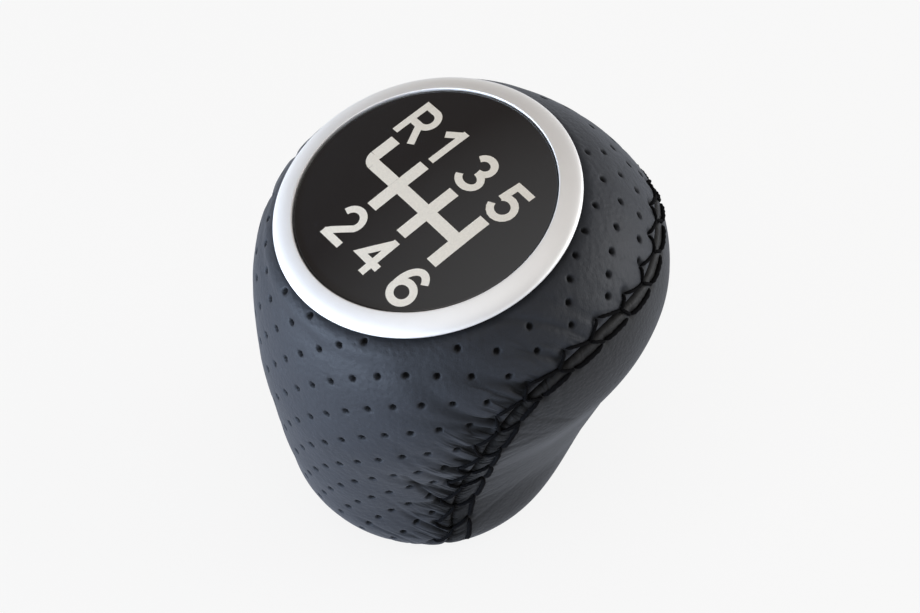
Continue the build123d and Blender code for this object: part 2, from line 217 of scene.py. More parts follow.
# Camera, fitted to the ring's ellipse: lengths in metres, image in pixels, sensor in mm
CAMERA_TURN = math.radians(52.05)
CAMERA_RISE = math.radians(47.08)
CAMERA_DISTANCE = 0.300
CAMERA_OFFSET = (-0.00439, 0.01351)
FOCAL_PIXELS = 2269.16
IMAGE_WIDTH = 920.0
SENSOR_WIDTH = 36.0

# Lamps: metres towards the camera, to the right and up, size in metres, colour
LAMPS = {
    "key": (0.25, -0.33, 0.016, (0.38, 0.05), (0.64, 0.78, 1.0)),
    "top": (0.30, -0.10, 0.45, (0.40, 0.40), (1.0, 0.98, 0.94)),
    "fill": (-0.12, 0.58, 0.14, (0.35, 0.25), (0.98, 0.99, 1.0)),
}
LAMP_AIM = (0.0, 0.0, 0.03)

# Floor and dome: radii and gap in metres, glow as seen and as mirrored, colours from the horizon up
FLOOR_RADII = (0.05, 0.3, 1.5)
FLOOR_COLUMNS = 96
FLOOR_GAP = 0.00003
FLOOR_SEEN = (0.985, 0.985, 0.985)
FLOOR_MIRRORED = (0.96, 1.03, 1.18)
FLOOR_GLOW_SHARE = 0.88
SEEN_RAYS = ("Is Camera Ray", "Is Glossy Ray", "Is Transmission Ray")
WHITE = (1.0, 1.0, 1.0)
DOME = (
    (0.0, (0.62, 0.62, 0.62)),
    (0.30, (0.45, 0.45, 0.45)),
    (0.62, (0.24, 0.22, 0.21)),
    (0.78, (0.23, 0.19, 0.17)),
    (0.93, (0.86, 0.85, 0.84)),
    (1.0, (1.0, 0.99, 0.98)),
)


# Settings


def size_property(name, description, default):
    """Property for a length in metres."""
    return FloatProperty(
        name=name, description=description, default=default, subtype="DISTANCE", unit="LENGTH"
    )


def colour_property(name, description, default):
    """Property for a colour."""
    return FloatVectorProperty(
        name=name, description=description, default=default, size=3, min=0.0, max=1.0, subtype="COLOR"
    )


def power_property(name, description, default):
    """Property for a lamp's power in watts."""
    return FloatProperty(name=name, description=description, default=default, min=0.0, unit="POWER")


class KnobLeatherSettings(bpy.types.PropertyGroup):
    """Sizes and colours of the two leather covers"""

    hole_radius: size_property("Hole radius", "Radius of a punched hole", 0.0004)
    hole_pitch: size_property("Hole pitch", "Spacing of the punched holes", 0.00458)
    hole_depth: size_property("Hole depth", "Depth of a punched hole", 0.0006)
    hole_margin: size_property("Hole margin", "Bare leather beside the seam", 0.0024)
    roll_depth: size_property("Roll depth", "How far the edges turn in at the seam", 0.0006)
    crease_depth: size_property("Crease depth", "Depth of the gathers beside the seam", 0.0006)
    # Dark charcoal leather whose blue tint is painted cool light: it stands in for the bluish light on the
    # rear of the knob
    punched_colour_and_cool_light: colour_property(
        "Punched leather", "Colour of the punched leather", (0.0172, 0.0196, 0.0252)
    )
    smooth_colour: colour_property(
        "Smooth leather", "Colour of the smooth leather", (0.0165, 0.0165, 0.0168)
    )


class KnobThreadSettings(bpy.types.PropertyGroup):
    """Sizes and colour of the seam's thread"""

    pitch: size_property("Stitch pitch", "Length of one stitch", 0.0059)
    reach: size_property("Reach", "Distance of the stitch holes from the seam", 0.00175)
    pull: size_property("Pull", "How far along a stitch its thread crosses the seam", 0.0019)
    radius: size_property("Thread radius", "Radius of the thread", 0.00032)
    colour: colour_property("Thread", "Colour of the thread", (0.005, 0.005, 0.0056))


class KnobTopSettings(bpy.types.PropertyGroup):
    """Sizes and colours of the ring, the cap and its print"""

    ring_radius: size_property("Ring radius", "Outer radius of the ring", 0.021)
    ring_bore: size_property("Ring bore", "Radius of the ring's bore round the cap", 0.01802)
    ring_crown: size_property("Ring crown", "Height of the ring's inner edge", 0.00175)
    cap_edge: size_property("Cap edge", "Height of the cap at its edge", 0.00145)
    cap_crown: size_property("Cap crown", "Height of the cap in the middle", 0.00215)
    print_lift: size_property("Print thickness", "Thickness of the printed pattern", 0.00003)
    ring_colour: colour_property("Ring", "Colour of the satin ring", (0.95, 0.94, 0.925))
    cap_colour: colour_property("Cap", "Colour of the gloss cap", (0.010, 0.010, 0.011))
    print_colour: colour_property("Print", "Colour of the gate pattern", (0.92, 0.87, 0.765))


class KnobStageSettings(bpy.types.PropertyGroup):
    """Light and floor"""

    key: power_property("Key", "Power of the key light in watts", 2.9)
    top: power_property("Top", "Power of the top light in watts", 0.28)
    fill: power_property("Fill", "Power of the fill light in watts", 1.8)
    floor_colour: colour_property("Floor", "Colour of the floor", (0.86, 0.86, 0.86))


# Shader expressions

# Sockets of a Mix node that blends colours
MIX_FACTOR, MIX_FIRST, MIX_SECOND, MIX_RESULT = 0, 6, 7, 2


class Shade:
    """A node socket on which arithmetic adds Math nodes."""

    def __init__(self, finish, socket):
        self.finish = finish
        self.socket = socket

    def maths(self, operation, first, second=0.0):
        return self.finish.node("ShaderNodeMath", {"operation": operation}, {0: first, 1: second})

    def __add__(self, other):
        return self.maths("ADD", self, other)

    __radd__ = __add__

    def __sub__(self, other):
        return self.maths("SUBTRACT", self, other)

    def __rsub__(self, other):
        return self.maths("SUBTRACT", other, self)

    def __mul__(self, other):
        return self.maths("MULTIPLY", self, other)

    __rmul__ = __mul__

    def __abs__(self):
        return self.maths("ABSOLUTE", self)

    def clamped(self):
        return self.finish.node("ShaderNodeClamp", None, {"Value": self})


def rgba(colour):
    """A colour as a socket takes it: a link stays, three numbers get full alpha."""
    return colour if isinstance(colour, Shade) else (*colour, 1.0)


def scaled(colour, share):
    """A colour times a share."""
    return tuple(channel * share for channel in colour)


class Finish:
    """A procedural material or world, built node by node."""

    def __init__(self, name, owner=None):
        self.owner = owner or bpy.data.materials.new(name)
        self.owner.use_nodes = True
        self.tree = self.owner.node_tree
        self.tree.nodes.clear()

    def put(self, socket, value):
        if isinstance(value, Shade):
            self.tree.links.new(value.socket, socket)
        else:
            socket.default_value = value

    def node(self, kind, settings=None, sockets=None, output=0):
        """Adds a node, sets its settings and then its sockets, and returns one output."""
        node = self.tree.nodes.new(kind)
        for key, value in (settings or {}).items():
            if key == "stops":
                while len(node.color_ramp.elements) < len(value):
                    node.color_ramp.elements.new(0.5)
                for element, (place, colour) in zip(node.color_ramp.elements, value):
                    element.position = place
                    element.color = rgba(colour)
            else:
                setattr(node, key, value)
        for key, value in (sockets or {}).items():
            self.put(node.inputs[key], value)
        return Shade(self, node.outputs[output]) if node.outputs else None

    def place(self):
        return self.node("ShaderNodeTexCoord", output="Object")

    def noise(self, scale, detail=2.0, roughness=0.5):
        sockets = {"Vector": self.place(), "Scale": scale, "Detail": detail, "Roughness": roughness}
        return self.node("ShaderNodeTexNoise", None, sockets)

    def pebbles(self, scale):
        sockets = {"Vector": self.place(), "Scale": scale}
        return self.node("ShaderNodeTexVoronoi", {"feature": "SMOOTH_F1"}, sockets)

    def attribute(self, name):
        return self.node("ShaderNodeAttribute", {"attribute_name": name}, output="Fac")

    def blend(self, factor, first, second):
        sockets = {MIX_FACTOR: factor, MIX_FIRST: rgba(first), MIX_SECOND: rgba(second)}
        return self.node("ShaderNodeMix", {"data_type": "RGBA"}, sockets, output=MIX_RESULT)

    def mottled(self, factor, colour, dark, light):
        """A colour that goes from a dark to a light share of itself with a factor."""
        return self.blend(factor, scaled(colour, dark), scaled(colour, light))

    def bump(self, height, strength, distance):
        sockets = {"Height": height, "Strength": strength, "Distance": distance}
        return self.node("ShaderNodeBump", None, sockets)

    def finish(self, sockets):
        """Ends the material with a Principled shader that takes the given sockets."""
        shader = self.node("ShaderNodeBsdfPrincipled", None, sockets)
        self.node("ShaderNodeOutputMaterial", None, {"Surface": shader})
        return self.owner


def fine_creases(f):
    """Thin creases where the leather gathers: the middle lines of a noise stretched away from the seam, used
    as bump and as painted shade in the folds.
    """
    along, away, middle, sharpness, strength = 380.0, 75.0, 0.5, 12.0, 1.15
    sockets = {0: f.attribute("slant") * along, 1: f.attribute("across") * away, 2: f.attribute("half")}
    place = f.node("ShaderNodeCombineXYZ", None, sockets)
    sockets = {"Vector": place, "Scale": 1.0, "Detail": 2.2, "Roughness": 0.55, "Distortion": 0.6}
    wander = f.node("ShaderNodeTexNoise", None, sockets)
    return (strength - abs(wander - middle) * sharpness).clamped() * f.attribute("gather")


def leather_finish(name, colour, grain, gloss):
    """Grained leather: pebbled cells and fine pores as bump, mottled colour, and painted shade that darkens
    the folds, holes, dents, seam and tuck.
    """
    f = Finish(name)
    crease = fine_creases(f)
    # Painted shade: the relief's darkening together with darker fine creases
    shade = (f.attribute("shade") + crease * 0.95).clamped()
    pebble = f.pebbles(scale=1350.0 * grain)
    pores = f.noise(scale=5200.0 * grain, detail=3.0)
    mottle = f.noise(scale=120.0, detail=4.0, roughness=0.6)
    base = f.mottled(mottle, colour, dark=0.78, light=1.24)
    height = pebble * 0.65 + pores * 0.35 - crease * 2.2
    return f.finish(
        {
            # The painted shade darkens the base colour down to a tenth of it
            "Base Color": f.blend(shade, base, scaled(colour, 0.10)),
            "Roughness": 0.50 + mottle * 0.10 + shade * 0.40,
            "Specular IOR Level": gloss,
            "Sheen Weight": 0.03,
            "Sheen Roughness": 0.4,
            "Normal": f.bump(height, strength=0.5, distance=0.00022),
        }
    )


def thread_finish(name, colour):
    """Waxed twisted thread: fine fibres as bump, slightly uneven colour."""
    f = Finish(name)
    fibre = f.noise(scale=4200.0, detail=3.0)
    return f.finish(
        {
            "Base Color": f.mottled(fibre, colour, dark=0.6, light=1.5),
            "Roughness": 0.75 + fibre * 0.2,
            "Specular IOR Level": 0.03,
            "Normal": f.bump(fibre, strength=0.3, distance=0.0001),
        }
    )


def satin_finish(name, colour, roughness, speckle, metallic=1.0):
    """Blasted metal: fine speckle in bump and roughness, faint cloudiness in colour."""
    f = Finish(name)
    fine = f.noise(scale=speckle)
    cloud = f.noise(scale=160.0, detail=3.0)
    return f.finish(
        {
            "Base Color": f.mottled(cloud, colour, dark=0.94, light=1.03),
            "Metallic": metallic,
            "Roughness": roughness - 0.05 + fine * 0.10 + cloud * 0.04,
            "Normal": f.bump(fine, strength=0.06, distance=0.00005),
        }
    )


def gloss_finish(name, colour):
    """Clear coated gloss plastic with faint wiping haze."""
    f = Finish(name)
    haze = f.noise(scale=300.0, detail=4.0, roughness=0.65)
    return f.finish(
        {
            "Base Color": f.mottled(haze, colour, dark=0.85, light=1.2),
            "Roughness": 0.05 + haze * 0.06,
            "Coat Weight": 0.35,
            "Coat Roughness": 0.03,
        }
    )


def moulded_finish(name, colour, roughness):
    """Moulded plastic with a fine spark eroded texture."""
    f = Finish(name)
    texture = f.noise(scale=2600.0)
    cloud = f.noise(scale=90.0, detail=3.0)
    return f.finish(
        {
            "Base Color": f.mottled(cloud, colour, dark=0.88, light=1.14),
            "Roughness": roughness - 0.06 + texture * 0.12,
            "Normal": f.bump(texture, strength=0.12, distance=0.0001),
        }
    )


def print_finish(name, colour):
    """Screen printed ink with a fine grain."""
    f = Finish(name)
    grain = f.noise(scale=3800.0, detail=3.0)
    return f.finish(
        {
            "Base Color": f.mottled(grain, colour, dark=0.86, light=1.12),
            "Roughness": 0.42 + grain * 0.12,
        }
    )


# Meshes


def mesh_object(name, points, faces, finish, attributes=None):
    """Mesh object at the origin from points and arrays of triangles and quads, smooth shaded."""
    mesh = bpy.data.meshes.new(name)
    corners = np.concatenate([part.ravel() for part in faces])
    totals = np.concatenate([np.full(len(part), part.shape[1]) for part in faces])
    starts = np.concatenate([[0], np.cumsum(totals)[:-1]])
    mesh.vertices.add(len(points))
    mesh.vertices.foreach_set("co", np.ascontiguousarray(points, np.float32).ravel())
    mesh.loops.add(len(corners))
    mesh.loops.foreach_set("vertex_index", corners.astype(np.int32))
    mesh.polygons.add(len(totals))
    mesh.polygons.foreach_set("loop_start", starts.astype(np.int32))
    mesh.polygons.foreach_set("use_smooth", np.ones(len(totals), bool))
    for key, values in (attributes or {}).items():
        layer = mesh.attributes.new(key, "FLOAT", "POINT")
        layer.data.foreach_set("value", np.ascontiguousarray(values, np.float32))
    mesh.update(calc_edges=True)
    if mesh.validate():
        raise RuntimeError(name + " has faces that are not valid")
    mesh.materials.append(finish)
    piece = bpy.data.objects.new(name, mesh)
    bpy.context.collection.objects.link(piece)
    return piece


def stand_for(piece, slot, *nodes):
    """Fixes a piece to the knob and hides the CAD nodes that it stands for; the slot, a finish's name, is not
    used.
    """
    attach(piece, "root")
    if nodes:
        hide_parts(*nodes)


def joined(parts):
    """Points and faces of several parts as one, where each part's faces count on from the part before."""
    points, faces, base = [], [], 0
    for part_points, part_faces in parts:
        points.append(part_points)
        faces += [part + base for part in part_faces]
        base += len(part_points)
    return np.concatenate(points), faces


def grid_faces(rows, columns):
    """Quads of a grid of rows and columns whose columns close on themselves, facing outwards."""
    i, j = np.meshgrid(np.arange(rows - 1), np.arange(columns), indexing="ij")
    here, beside = i * columns + j, i * columns + (j + 1) % columns
    return np.stack([here, beside, beside + columns, here + columns], -1).reshape(-1, 4)


def hub_faces(centre, columns):
    """Triangles from one middle point to each step of a grid's first row."""
    k = np.arange(columns)
    return np.stack([np.full(columns, centre), k, (k + 1) % columns], -1)


def full_turn(count):
    """Angles spaced evenly round a circle."""
    return np.arange(count) * 2 * math.pi / count


def circles(radius, angle, height):
    """Points round the z axis from radius, angle and height, which may be arrays of shapes that fit."""
    return np.stack(np.broadcast_arrays(radius * np.cos(angle), radius * np.sin(angle), height), -1)


def unit(vectors):
    """Vectors of length one."""
    return vectors / np.maximum(np.linalg.norm(vectors, axis=-1, keepdims=True), 1e-12)


def dot(first, second):
    """Scalar products along the last axis."""
    return (first * second).sum(-1)


def runs_along(points):
    """Length of the path up to each of its points."""
    steps = np.linalg.norm(np.diff(points, axis=-2), axis=-1)
    return np.concatenate([np.zeros((*steps.shape[:-1], 1)), np.cumsum(steps, axis=-1)], axis=-1)


def nearest(points, targets):
    """Index of the target nearest to each point, worked out in batches."""
    batches = np.array_split(points, max(1, len(points) // NEAREST_BATCH))
    squares = (targets**2).sum(1)
    return np.concatenate([np.argmin(squares - 2 * part @ targets.T, axis=1) for part in batches])


def smoothstep(low, high, values):
    """Rises from 0 at low to 1 at high, level at both ends."""
    t = np.clip((values - low) / (high - low), 0.0, 1.0)
    return t * t * (3 - 2 * t)


def bell(values, width, power=2):
    """One in the middle, falling off on both sides: e to minus a power of the value over a width."""
    return np.exp(-(np.abs(values / width) ** power))


def hermite(at, places, values, ends=None):
    """Cubic through values at places, with slopes averaged between neighbouring spans."""
    spans = np.diff(places)
    rates = np.diff(values, axis=0) / spans[:, None]
    weighted = rates[:-1] * spans[1:, None] + rates[1:] * spans[:-1, None]
    inner = weighted / (spans[:-1] + spans[1:])[:, None]
    if ends is None:
        ends = 1.5 * rates[0] - 0.5 * inner[0], 1.5 * rates[-1] - 0.5 * inner[-1]
    slopes = np.vstack([ends[0], inner, ends[1]])
    i = np.clip(np.searchsorted(places, at, side="right") - 1, 0, len(spans) - 1)
    span = spans[i][..., None]
    u = (at[..., None] - places[i][..., None]) / span
    return (
        (1 + 2 * u) * (1 - u) ** 2 * values[i]
        + u * (1 - u) ** 2 * span * slopes[i]
        + u * u * (3 - 2 * u) * values[i + 1]
        + u * u * (u - 1) * span * slopes[i + 1]
    )


# Leather body and seam

MEAN_RADIUS = (OUTLINE[:, 2] + (OUTLINE[:, 3] + OUTLINE[:, 4]) / 2) / 2
BODY_LEVELS = np.column_stack([OUTLINE[:, 0], np.tan(np.radians(OUTLINE[:, 1])), OUTLINE[:, 2:]])
BODY_RUNS = runs_along(np.column_stack([MEAN_RADIUS, OUTLINE[:, 0]]))
BODY_PLACES = BODY_RUNS / BODY_RUNS[-1]


def body_level(s):
    """Height, slope, half width, front and rear of the section at s, from 0 at the hem to 1 at the rim."""
    return np.moveaxis(hermite(s, BODY_PLACES, BODY_LEVELS), -1, 0)


def body_point(s, turn):
    """Point of the body in metres: at an angle turn on the ellipse whose centre, axes and tilt follow s."""
    height, slope, width, front, rear = body_level(s)
    y = (front - rear) / 2 + (front + rear) / 2 * np.sin(turn)
    return np.stack([width * np.cos(turn), y, height + slope * y], -1) * MM


def body_frame(s, turn):
    """Point, rates along s and turn, and outward normal, from central differences."""
    step = BODY_STEP
    up = (body_point(s + step, turn) - body_point(s - step, turn)) / (2 * step)
    around = (body_point(s, turn + step) - body_point(s, turn - step)) / (2 * step)
    return body_point(s, turn), up, around, unit(np.cross(around, up))


def moved_on_body(s, turn, move):
    """Position and angle of the body's point that lies a small move away along its surface."""
    _, up, around, _ = body_frame(s, turn)
    a, b, c = dot(up, up), dot(up, around), dot(around, around)
    p, q = dot(move, up), dot(move, around)
    full = a * c - b * b
    return s + (p * c - q * b) / full, turn + (q * a - p * b) / full


def seam_on_body():
    """Seam on the right half from the nose to the hem: s, turn, point, run, direction and across vectors.

    The side view is a cubic and a straight line; each of its points is carried sideways onto the body, where
    halving finds the section that passes through it.
    """
    places = runs_along(SEAM_BEND)
    bend = hermite(np.linspace(places[-1], 0, SEAM_SAMPLES), places, SEAM_BEND, SEAM_END_SLOPES)
    straight = np.linspace(SEAM_BEND[0], SEAM_HEM, SEAM_SAMPLES // 2)[1:]
    y, z = np.vstack([bend, straight]).T
    low, high = np.zeros(len(y)), np.ones(len(y))
    for _ in range(SEAM_HALVINGS):
        s = (low + high) / 2
        height, slope, _, front, rear = body_level(s)
        under = height + slope * y < z
        low, high = np.where(under, s, low), np.where(under, high, s)
    share = (2 * y - front + rear) / (front + rear)
    kept = share <= 1
    s, turn = s[kept], np.arcsin(share[kept])
    s, turn = np.concatenate([s[:1], s]), np.concatenate([[math.pi / 2], turn])
    run = runs_along(body_point(s, turn))
    even = np.linspace(0, run[-1], SEAM_POINTS)
    s, turn = np.interp(even, run, s), np.interp(even, run, turn)
    points, _, _, normal = body_frame(s, turn)
    along = unit(np.gradient(points, axis=0))
    across = np.cross(along, normal)
    return {"s": s, "turn": turn, "point": points, "run": even, "along": along, "across": across}


SEAM = seam_on_body()
SEAM_LENGTH = SEAM["run"][-1]


def seam_coordinates(points):
    """Run along the seam from the nose and signed distance across it, positive on the punched side."""
    flat = points.reshape(-1, 3).copy()
    flat[:, 0] = np.abs(flat[:, 0])
    k = nearest(flat, SEAM["point"])
    offset = flat - SEAM["point"][k]
    run = SEAM["run"][k] + dot(offset, SEAM["along"][k])
    across = np.sign(dot(offset, SEAM["across"][k])) * np.linalg.norm(offset, axis=1)
    return run.reshape(points.shape[:-1]), across.reshape(points.shape[:-1])


def down_seam(first, last, run):
    """Rises from 0 to 1 between two shares of the seam's length from the nose."""
    return smoothstep(first * SEAM_LENGTH, last * SEAM_LENGTH, run)


def punched_holes(pitch, margin):
    """Points of the punched holes on the body.

    A diagonal square grid on a flat sheet with a round cut-out keeps its length down the side of the knob,
    and its turn gathers towards the base.
    """
    half = pitch / MM / math.sqrt(2)
    steps = np.arange(-HOLE_REACH, HOLE_REACH)
    i, j = np.meshgrid(steps, steps, indexing="ij")
    i, j = i[(i + j) % 2 == 0], j[(i + j) % 2 == 0]
    x, y = i * half + HOLE_SHIFT[0], j * half + HOLE_SHIFT[1]
    distance = np.hypot(x, y) - RIM_RADIUS
    turn = np.arctan2(x, -y) / np.maximum(GATHER_AT_RIM - GATHER_PER_MM * distance, GATHER_LEAST)
    kept = (distance > HOLE_RING_CLEAR) & (np.abs(turn) < math.pi)
    turn, distance = turn[kept] - math.pi / 2, distance[kept] * MM
    levels = np.linspace(1, 0, HOLE_LEVELS)
    runs = runs_along(body_point(levels[None, :], turn[:, None]))
    inside = distance < runs[:, -1] - margin
    turn, distance, runs = turn[inside], distance[inside], runs[inside]
    upper = np.minimum((runs <= distance[:, None]).sum(1), len(levels) - 1)
    rows = np.arange(len(turn))
    before, after = runs[rows, upper - 1], runs[rows, upper]
    share = (distance - before) / (after - before)
    points = body_point(levels[upper - 1] + share * (levels[upper] - levels[upper - 1]), turn)
    return points[seam_coordinates(points)[1] > margin]


def snapped_to_seam(s, turn, across):
    """Moves grid points beside the seam onto it, so that no edge of the grid crosses it.

    Each edge whose ends lie on both sides gives a crossing; the nearer end goes there if it is its closest.
    """
    best = np.full(s.shape, 0.5)
    new_s, new_turn, new_across = s.copy(), turn.copy(), across.copy()
    for axis, step in ((0, 1), (0, -1), (1, 1), (1, -1)):
        other = np.roll(across, -step, axis)
        crossing = across * other < 0
        if axis == 0:
            crossing[-1 if step == 1 else 0] = False
        share = np.where(crossing, across / np.where(crossing, across - other, 1.0), 1.0)
        nearer = share <= best
        delta = np.roll(turn, -step, axis) - turn
        delta = (delta + math.pi) % (2 * math.pi) - math.pi
        new_s = np.where(nearer, s + share * (np.roll(s, -step, axis) - s), new_s)
        new_turn = np.where(nearer, turn + share * delta, new_turn)
        new_across = np.where(nearer, 0.0, new_across)
        best = np.where(nearer, share, best)
    return new_s, new_turn, new_across


def side_faces(across):
    """Quads with no point on the wrong side of the seam, and the half quads that the seam cuts off."""
    quads = grid_faces(*across.shape)
    sides = np.sign(across.ravel())[quads]
    whole = (sides >= 0).all(1)
    mixed = (sides > 0).any(1) & (sides < 0).any(1)
    corner = np.argmax(sides[mixed], axis=1)
    rows = np.arange(mixed.sum())
    cut = np.stack([quads[mixed][rows, (corner + step) % 4] for step in (-1, 0, 1)], -1)
    return quads[whole], cut


def compact(count, faces):
    """Faces numbered anew without the points that none of them uses, and which points are kept."""
    used = np.zeros(count, bool)
    for part in faces:
        used[part.ravel()] = True
    index = np.cumsum(used) - 1
    return [index[part] for part in faces], used


def stitch_spread(run):
    """How much wider the stitches grow towards the hem."""
    return 1 + 0.42 * down_seam(0.52, 0.82, run)


def stitch_dents(run, across, pitch, reach):
    """Round dents where the thread goes into the leather, one for each stitch."""
    offset = run - np.round(run / pitch) * pitch
    return bell(np.hypot(offset, across - reach * stitch_spread(run)), DENT_RADIUS * MM)


def gather_weight(run, across):
    """How much the leather gathers: on the lower half of the seam, out to a reach that swings along it."""
    reach = (6.2 + 2.4 * np.sin(run / (1.1 * MM)) + 1.8 * np.sin(run / (0.47 * MM))) * MM
    fade = 1 - smoothstep(0.35 * reach, reach, across)
    return fade * down_seam(0.40, 0.62, run)


def seam_shade(run, across):
    """Painted shade: a dark line in the seam's groove, and a soft dark band between the rows of stitches on
    its lower half, where the gathered leather lies in shade.
    """
    band = 0.5 * down_seam(0.45, 0.70, run) * bell(across, SEAM_SHADE_BAND * MM, 4)
    return bell(across, SEAM_SHADE_LINE * MM) + band


def crease_lean(run):
    """Step along the seam for each step away from it: to the hem at the bend, and upwards below it."""
    return 0.4 - 1.2 * down_seam(0.48, 0.78, run)


def crease_field(run, across, left, pitch, seed):
    """Gathers that run away from the seam, one or two for each stitch, each a narrow valley that dies out.

    A valley's middle is a line of its own slope and bow; its depth grows from the seam, then falls with the
    distance, and it is deep on the lower half of the seam and faint over the crest and at the hem.
    """
    random = np.random.default_rng(seed)
    shape = (2, CREASE_COUNT)
    lean, bow = random.uniform(-0.3, 0.3, shape), random.uniform(-26, 26, shape)
    reach, width = random.uniform(3.5, 12.5, shape) * MM, random.uniform(0.24, 0.48, shape) * MM
    depth, shift = random.uniform(0.55, 1.25, shape), random.uniform(-0.32, 0.32, shape)
    spacing = pitch * CREASE_SPACING
    lean = lean + crease_lean(np.arange(CREASE_COUNT) * spacing)
    side = left.astype(int)
    middle = np.round(run / spacing).astype(int)
    start = smoothstep(0.2 * MM, 1.5 * MM, across)
    total = np.zeros(run.shape)
    for step in (-2, -1, 0, 1, 2):
        k = np.clip(middle + step, 0, CREASE_COUNT - 1)
        line = (k + shift[side, k]) * spacing + lean[side, k] * across + bow[side, k] * across**2
        valley = bell(run - line, width[side, k] * (1 + across / (CREASE_FLARE * MM)))
        total += depth[side, k] * valley * start * bell(np.maximum(across, 0), reach[side, k])
    weight = 0.10 + 0.90 * down_seam(0.36, 0.60, run)
    return total * weight * (1 - 0.8 * down_seam(0.90, 1.0, run))


def soft_waves(points, seed, scale, count=24):
    """Sum of random plane waves, for a slightly uneven hand drawn surface."""
    random = np.random.default_rng(seed)
    directions = random.normal(size=(count, 3)) / scale
    phases = random.uniform(0, 2 * math.pi, count)
    waves = np.sin(points.reshape(-1, 3) @ directions.T + phases).sum(1)
    return waves.reshape(points.shape[:-1]) / math.sqrt(count)


def rolled_edge(distance, depth):
    """Profile across the seam: deep at the seam, a rounded shoulder, a slight swell beside it."""
    share = np.abs(distance) / (SWELL_PLACE * MM)
    return SWELL_HEIGHT * MM * share * np.exp(1 - share) - depth * bell(distance, ROLL_WIDTH * MM, 1.4)


def with_edge_rows(rows):
    """A grid with its first and its last row doubled, for the rows that turn in."""
    return np.concatenate([rows[:1], rows, rows[-1:]])


def leather_cover(grid, sign, relief):
    """Grid over the body on one side of the seam, displaced along the normals by a relief.

    sign is 1 for the punched side and -1 for the smooth side. One more row turns in at the hem and one under
    the ring, beside which the leather swells to a soft lip at the rear.
    """
    rows, columns = grid
    s, turn = np.meshgrid(np.linspace(0, 1, rows), full_turn(columns), indexing="ij")
    across = sign * seam_coordinates(body_point(s, turn))[1]
    across = np.where(across == 0, OFF_SEAM, across)
    s, turn, across = snapped_to_seam(s, turn, across)
    points, _, _, normals = body_frame(s, turn)
    run, distance = seam_coordinates(points)
    distance = np.where(across == 0, 0.0, sign * distance)
    height, shade, gather = relief(points, run, distance)
    held = smoothstep(0.0, HEM_SHARE, s) * smoothstep(1.0, RIM_SHARE, s)
    tuck = smoothstep(TUCK_START, 1.0, s)
    lip = LIP_HEIGHT * (0.5 - 0.5 * np.sin(turn)) ** 1.5 * bell(s - LIP_PLACE, LIP_WIDTH)
    height = height * held + (lip - TUCK_DEPTH * tuck**2) * MM
    points = points + normals * height[..., None]
    # Painted shade: the relief's darkening, with more of it where the leather tucks under the ring
    layers = {
        "shade": np.clip(shade + TUCK_PAINTED_SHADE * tuck**3, 0, 1),
        "gather": gather,
        "slant": run - crease_lean(run) * distance,
        "across": distance,
        "half": HALVES_APART * np.sign(points[..., 0]),
    }
    hem = circles(UNDER_HEM_RADIUS, turn[0], HEM_HEIGHT + UNDER_HEM_LIFT) * MM
    rim = TOP_CENTRE + circles(UNDER_RING_RADIUS, turn[0], -TUCK_DEPTH) * MM @ TOP_AXES
    points = np.concatenate([hem[None], points, rim[None]]).reshape(-1, 3)
    faces, used = compact(len(points), side_faces(with_edge_rows(across)))
    layers = {key: with_edge_rows(part).ravel()[used] for key, part in layers.items()}
    return points[used], faces, layers


class KNOB_OT_punched_leather(bpy.types.Operator):
    """Adds the punched leather with its holes, rolled seam edge and gathers"""

    bl_idname = "knob.punched_leather"
    bl_label = "Punched leather"

    def execute(self, context):
        leather, thread = context.scene.knob_leather, context.scene.knob_thread
        holes = punched_holes(leather.hole_pitch, leather.hole_margin)
        wave_height, wave_length = PUNCHED_WAVE

        def relief(points, run, distance):
            flat = points.reshape(-1, 3)
            offset = np.linalg.norm(flat - holes[nearest(flat, holes)], axis=1)
            radius = offset.reshape(run.shape) / leather.hole_radius
            crease = crease_field(run, distance, points[..., 0] < 0, thread.pitch, seed=4)
            dents = stitch_dents(run, distance, thread.pitch, thread.reach)
            height = rolled_edge(distance, leather.roll_depth) - leather.crease_depth * crease
            height -= leather.hole_depth * smoothstep(*HOLE_WALL, radius)
            height -= (HOLE_DIMPLE * bell(radius, DIMPLE_WIDTH) + PUNCHED_DENT * dents) * MM
            height += wave_height * MM * soft_waves(points, 7, wave_length * MM)
            # Painted shade: darkening inside and round each hole, in the creases and dents, and along the
            # seam
            dark = smoothstep(*HOLE_PAINTED_SHADE, radius) + 0.9 * crease**1.3 + 0.5 * dents
            shade = np.clip(dark + seam_shade(run, distance), 0, 1)
            return height, shade, gather_weight(run, distance)

        points, faces, layers = leather_cover(PUNCHED_GRID, 1, relief)
        finish = leather_finish("punched_leather", leather.punched_colour_and_cool_light, grain=1.0, gloss=0.29)
        piece = mesh_object("punched_leather", points, faces, finish, layers)
        stand_for(piece, "punched_leather", "rear_leather")
        return {"FINISHED"}


class KNOB_OT_smooth_leather(bpy.types.Operator):
    """Adds the smooth leather of the nose with its rolled seam edge"""

    bl_idname = "knob.smooth_leather"
    bl_label = "Smooth leather"

    def execute(self, context):
        leather, thread = context.scene.knob_leather, context.scene.knob_thread
        wave_height, wave_length = SMOOTH_WAVE

        def relief(points, run, distance):
            dents = stitch_dents(run, distance, thread.pitch, thread.reach)
            crease = crease_field(run, distance, points[..., 0] < 0, thread.pitch, seed=9)
            height = rolled_edge(distance, leather.roll_depth) - SMOOTH_DENT * MM * dents
            height -= SMOOTH_CREASE * leather.crease_depth * crease
            height += wave_height * MM * soft_waves(points, 3, wave_length * MM)
            # Painted shade in the stitch dents and along the seam
            shade = np.clip(0.4 * dents + seam_shade(run, distance), 0, 1)
            return height, shade, 0.8 * gather_weight(run, 2.5 * distance)

        points, faces, layers = leather_cover(SMOOTH_GRID, -1, relief)
        finish = leather_finish("smooth_leather", leather.smooth_colour, grain=1.25, gloss=0.195)
        piece = mesh_object("smooth_leather", points, faces, finish, layers)
        stand_for(piece, "smooth_leather", "front_leather")
        return {"FINISHED"}


# Stitches


